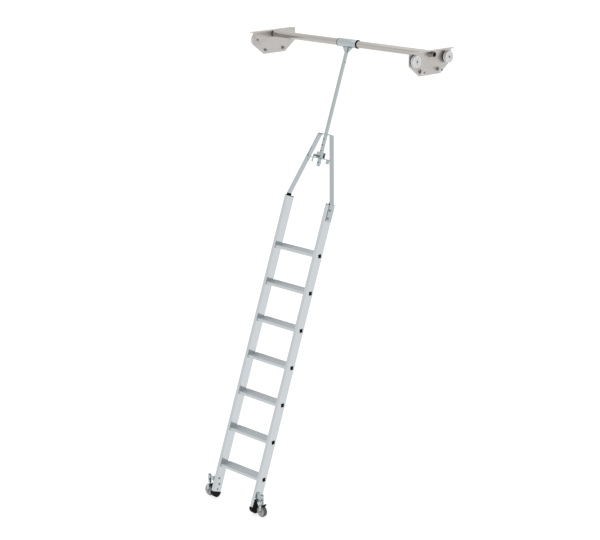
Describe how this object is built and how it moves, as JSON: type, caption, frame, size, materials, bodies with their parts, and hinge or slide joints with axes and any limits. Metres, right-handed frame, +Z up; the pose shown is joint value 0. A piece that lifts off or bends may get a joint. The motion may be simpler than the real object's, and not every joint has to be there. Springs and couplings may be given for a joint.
{
  "type": "mobile hanging aisle ladder",
  "caption": "Aluminium step ladder hung from an overhead trolley tube by an adjustable pole and A-frame, with rail rollers and sprung castors at its feet.",
  "frame": {"origin": "middle of the cross tube axis, the pivot that the ladder hangs and swings on", "axes": "+Z up, +X along the cross tube to the climber's right, -Y towards the climber, who faces +Y"},
  "size_m": [1.57, 1.3767, 3.1692],
  "materials": {
    "anodised": "natural anodised extrusion",
    "tread_aluminium": "mill finish with fine ribs, black plugs in the ends",
    "zinc": "zinc plated steel, satin",
    "stainless": "satin stainless steel",
    "nylon": "white nylon",
    "black_plastic": "moulded black plastic",
    "rubber": "black moulded rubber",
    "wheel": "grey rubber tyre on a grey core"
  },
  "bodies": {
    "trolley": {"cross_tube": "stainless", "trolley_plate_left": "stainless", "trolley_plate_right": "stainless", "tube_collar_left": "black_plastic", "tube_collar_right": "black_plastic", "roller_axle_left_front": "zinc", "roller_axle_left_rear": "zinc", "roller_axle_right_front": "zinc", "roller_axle_right_rear": "zinc", "guide_axle_left_front": "zinc", "guide_axle_left_rear": "zinc", "guide_axle_right_front": "zinc", "guide_axle_right_rear": "zinc"},
    "rail_roller_left_front": {"roller_left_front": "nylon"},
    "guide_roller_left_front": {"guide_left_front": "nylon"},
    "rail_roller_left_rear": {"roller_left_rear": "nylon"},
    "guide_roller_left_rear": {"guide_left_rear": "nylon"},
    "rail_roller_right_front": {"roller_right_front": "nylon"},
    "guide_roller_right_front": {"guide_right_front": "nylon"},
    "rail_roller_right_rear": {"roller_right_rear": "nylon"},
    "guide_roller_right_rear": {"guide_right_rear": "nylon"},
    "carriage": {"sleeve_bush_left": "black_plastic", "sleeve_bush_right": "black_plastic"},
    "hanger": {"pivot_sleeve": "zinc", "hanger_pole": "zinc", "pole_stop_screw": "zinc"},
    "ladder": {"top_bridge": "zinc", "strut_left": "zinc", "strut_right": "zinc", "cross_plate": "zinc", "latch_bracket": "zinc", "index_housing": "zinc", "stile_left": "anodised", "stile_right": "anodised", "stile_cap_left": "black_plastic", "stile_cap_right": "black_plastic", "tread_1": "tread_aluminium", "tread_2": "tread_aluminium", "tread_3": "tread_aluminium", "tread_4": "tread_aluminium", "tread_5": "tread_aluminium", "tread_6": "tread_aluminium", "tread_7": "tread_aluminium", "strut_bolts_left": "zinc", "strut_bolts_right": "zinc", "foot_left": "rubber", "foot_right": "rubber", "castor_bracket_left": "zinc", "castor_bracket_right": "zinc"},
    "index_pin": {"index_bolt": "zinc"},
    "sprung_stem_left": {"castor_stem_left": "zinc"},
    "swivel_fork_left": {"castor_fork_left": "zinc", "castor_axle_left": "zinc"},
    "wheel_left": {"castor_wheel_left": "wheel"},
    "brake_left": {"brake_pedal_left": "black_plastic"},
    "sprung_stem_right": {"castor_stem_right": "zinc"},
    "swivel_fork_right": {"castor_fork_right": "zinc", "castor_axle_right": "zinc"},
    "wheel_right": {"castor_wheel_right": "wheel"},
    "brake_right": {"brake_pedal_right": "black_plastic"}
  },
  "joints": [
    {"name": "rail_roller_left_front_spin", "type": "hinge", "parent": "trolley", "child": "rail_roller_left_front", "pos_m": [-0.76675, -0.1645, -0.0325], "axis": [1, 0, 0], "continuous": true},
    {"name": "guide_roller_left_front_spin", "type": "hinge", "parent": "trolley", "child": "guide_roller_left_front", "pos_m": [-0.7655, -0.09, -0.112], "axis": [1, 0, 0], "continuous": true},
    {"name": "rail_roller_left_rear_spin", "type": "hinge", "parent": "trolley", "child": "rail_roller_left_rear", "pos_m": [-0.76675, 0.1645, -0.0325], "axis": [1, 0, 0], "continuous": true},
    {"name": "guide_roller_left_rear_spin", "type": "hinge", "parent": "trolley", "child": "guide_roller_left_rear", "pos_m": [-0.7655, 0.09, -0.112], "axis": [1, 0, 0], "continuous": true},
    {"name": "rail_roller_right_front_spin", "type": "hinge", "parent": "trolley", "child": "rail_roller_right_front", "pos_m": [0.76675, -0.1645, -0.0325], "axis": [1, 0, 0], "continuous": true},
    {"name": "guide_roller_right_front_spin", "type": "hinge", "parent": "trolley", "child": "guide_roller_right_front", "pos_m": [0.7655, -0.09, -0.112], "axis": [1, 0, 0], "continuous": true},
    {"name": "rail_roller_right_rear_spin", "type": "hinge", "parent": "trolley", "child": "rail_roller_right_rear", "pos_m": [0.76675, 0.1645, -0.0325], "axis": [1, 0, 0], "continuous": true},
    {"name": "guide_roller_right_rear_spin", "type": "hinge", "parent": "trolley", "child": "guide_roller_right_rear", "pos_m": [0.7655, 0.09, -0.112], "axis": [1, 0, 0], "continuous": true},
    {"name": "carriage_slide", "type": "slide", "parent": "trolley", "child": "carriage", "axis": [1, 0, 0], "range_m": [-0.65, 0.65]},
    {"name": "hanger_swing", "type": "hinge", "parent": "carriage", "child": "hanger", "pos_m": [0, 0, 0], "axis": [-1, 0, 0], "range_deg": [0, 35]},
    {"name": "height_slide", "type": "slide", "parent": "hanger", "child": "ladder", "axis": [0, 0.342, 0.9397], "range_m": [0, 0.126]},
    {"name": "index_pull", "type": "slide", "parent": "ladder", "child": "index_pin", "axis": [0, -0.9397, 0.342], "range_m": [-0.008, 0]},
    {"name": "castor_left_spring", "type": "slide", "parent": "ladder", "child": "sprung_stem_left", "axis": [0, 0, 1], "range_m": [0, 0.009], "stiffness_N_per_m": 12000, "springref_m": -0.006},
    {"name": "castor_left_swivel", "type": "hinge", "parent": "sprung_stem_left", "child": "swivel_fork_left", "pos_m": [-0.268, -1.119, -3.052], "axis": [0, 0, 1], "continuous": true},
    {"name": "castor_left_roll", "type": "hinge", "parent": "swivel_fork_left", "child": "wheel_left", "pos_m": [-0.268, -1.119, -3.099], "axis": [0, 1, 0], "continuous": true},
    {"name": "brake_left_press", "type": "hinge", "parent": "swivel_fork_left", "child": "brake_left", "pos_m": [-0.25286, -1.119, -3.05503], "axis": [0, 1, 0], "range_deg": [0, 5]},
    {"name": "castor_right_spring", "type": "slide", "parent": "ladder", "child": "sprung_stem_right", "axis": [0, 0, 1], "range_m": [0, 0.009], "stiffness_N_per_m": 12000, "springref_m": -0.006},
    {"name": "castor_right_swivel", "type": "hinge", "parent": "sprung_stem_right", "child": "swivel_fork_right", "pos_m": [0.268, -1.119, -3.052], "axis": [0, 0, 1], "continuous": true},
    {"name": "castor_right_roll", "type": "hinge", "parent": "swivel_fork_right", "child": "wheel_right", "pos_m": [0.268, -1.119, -3.099], "axis": [0, 1, 0], "continuous": true},
    {"name": "brake_right_press", "type": "hinge", "parent": "swivel_fork_right", "child": "brake_right", "pos_m": [0.28314, -1.119, -3.05503], "axis": [0, 1, 0], "range_deg": [0, 5]}
  ]
}
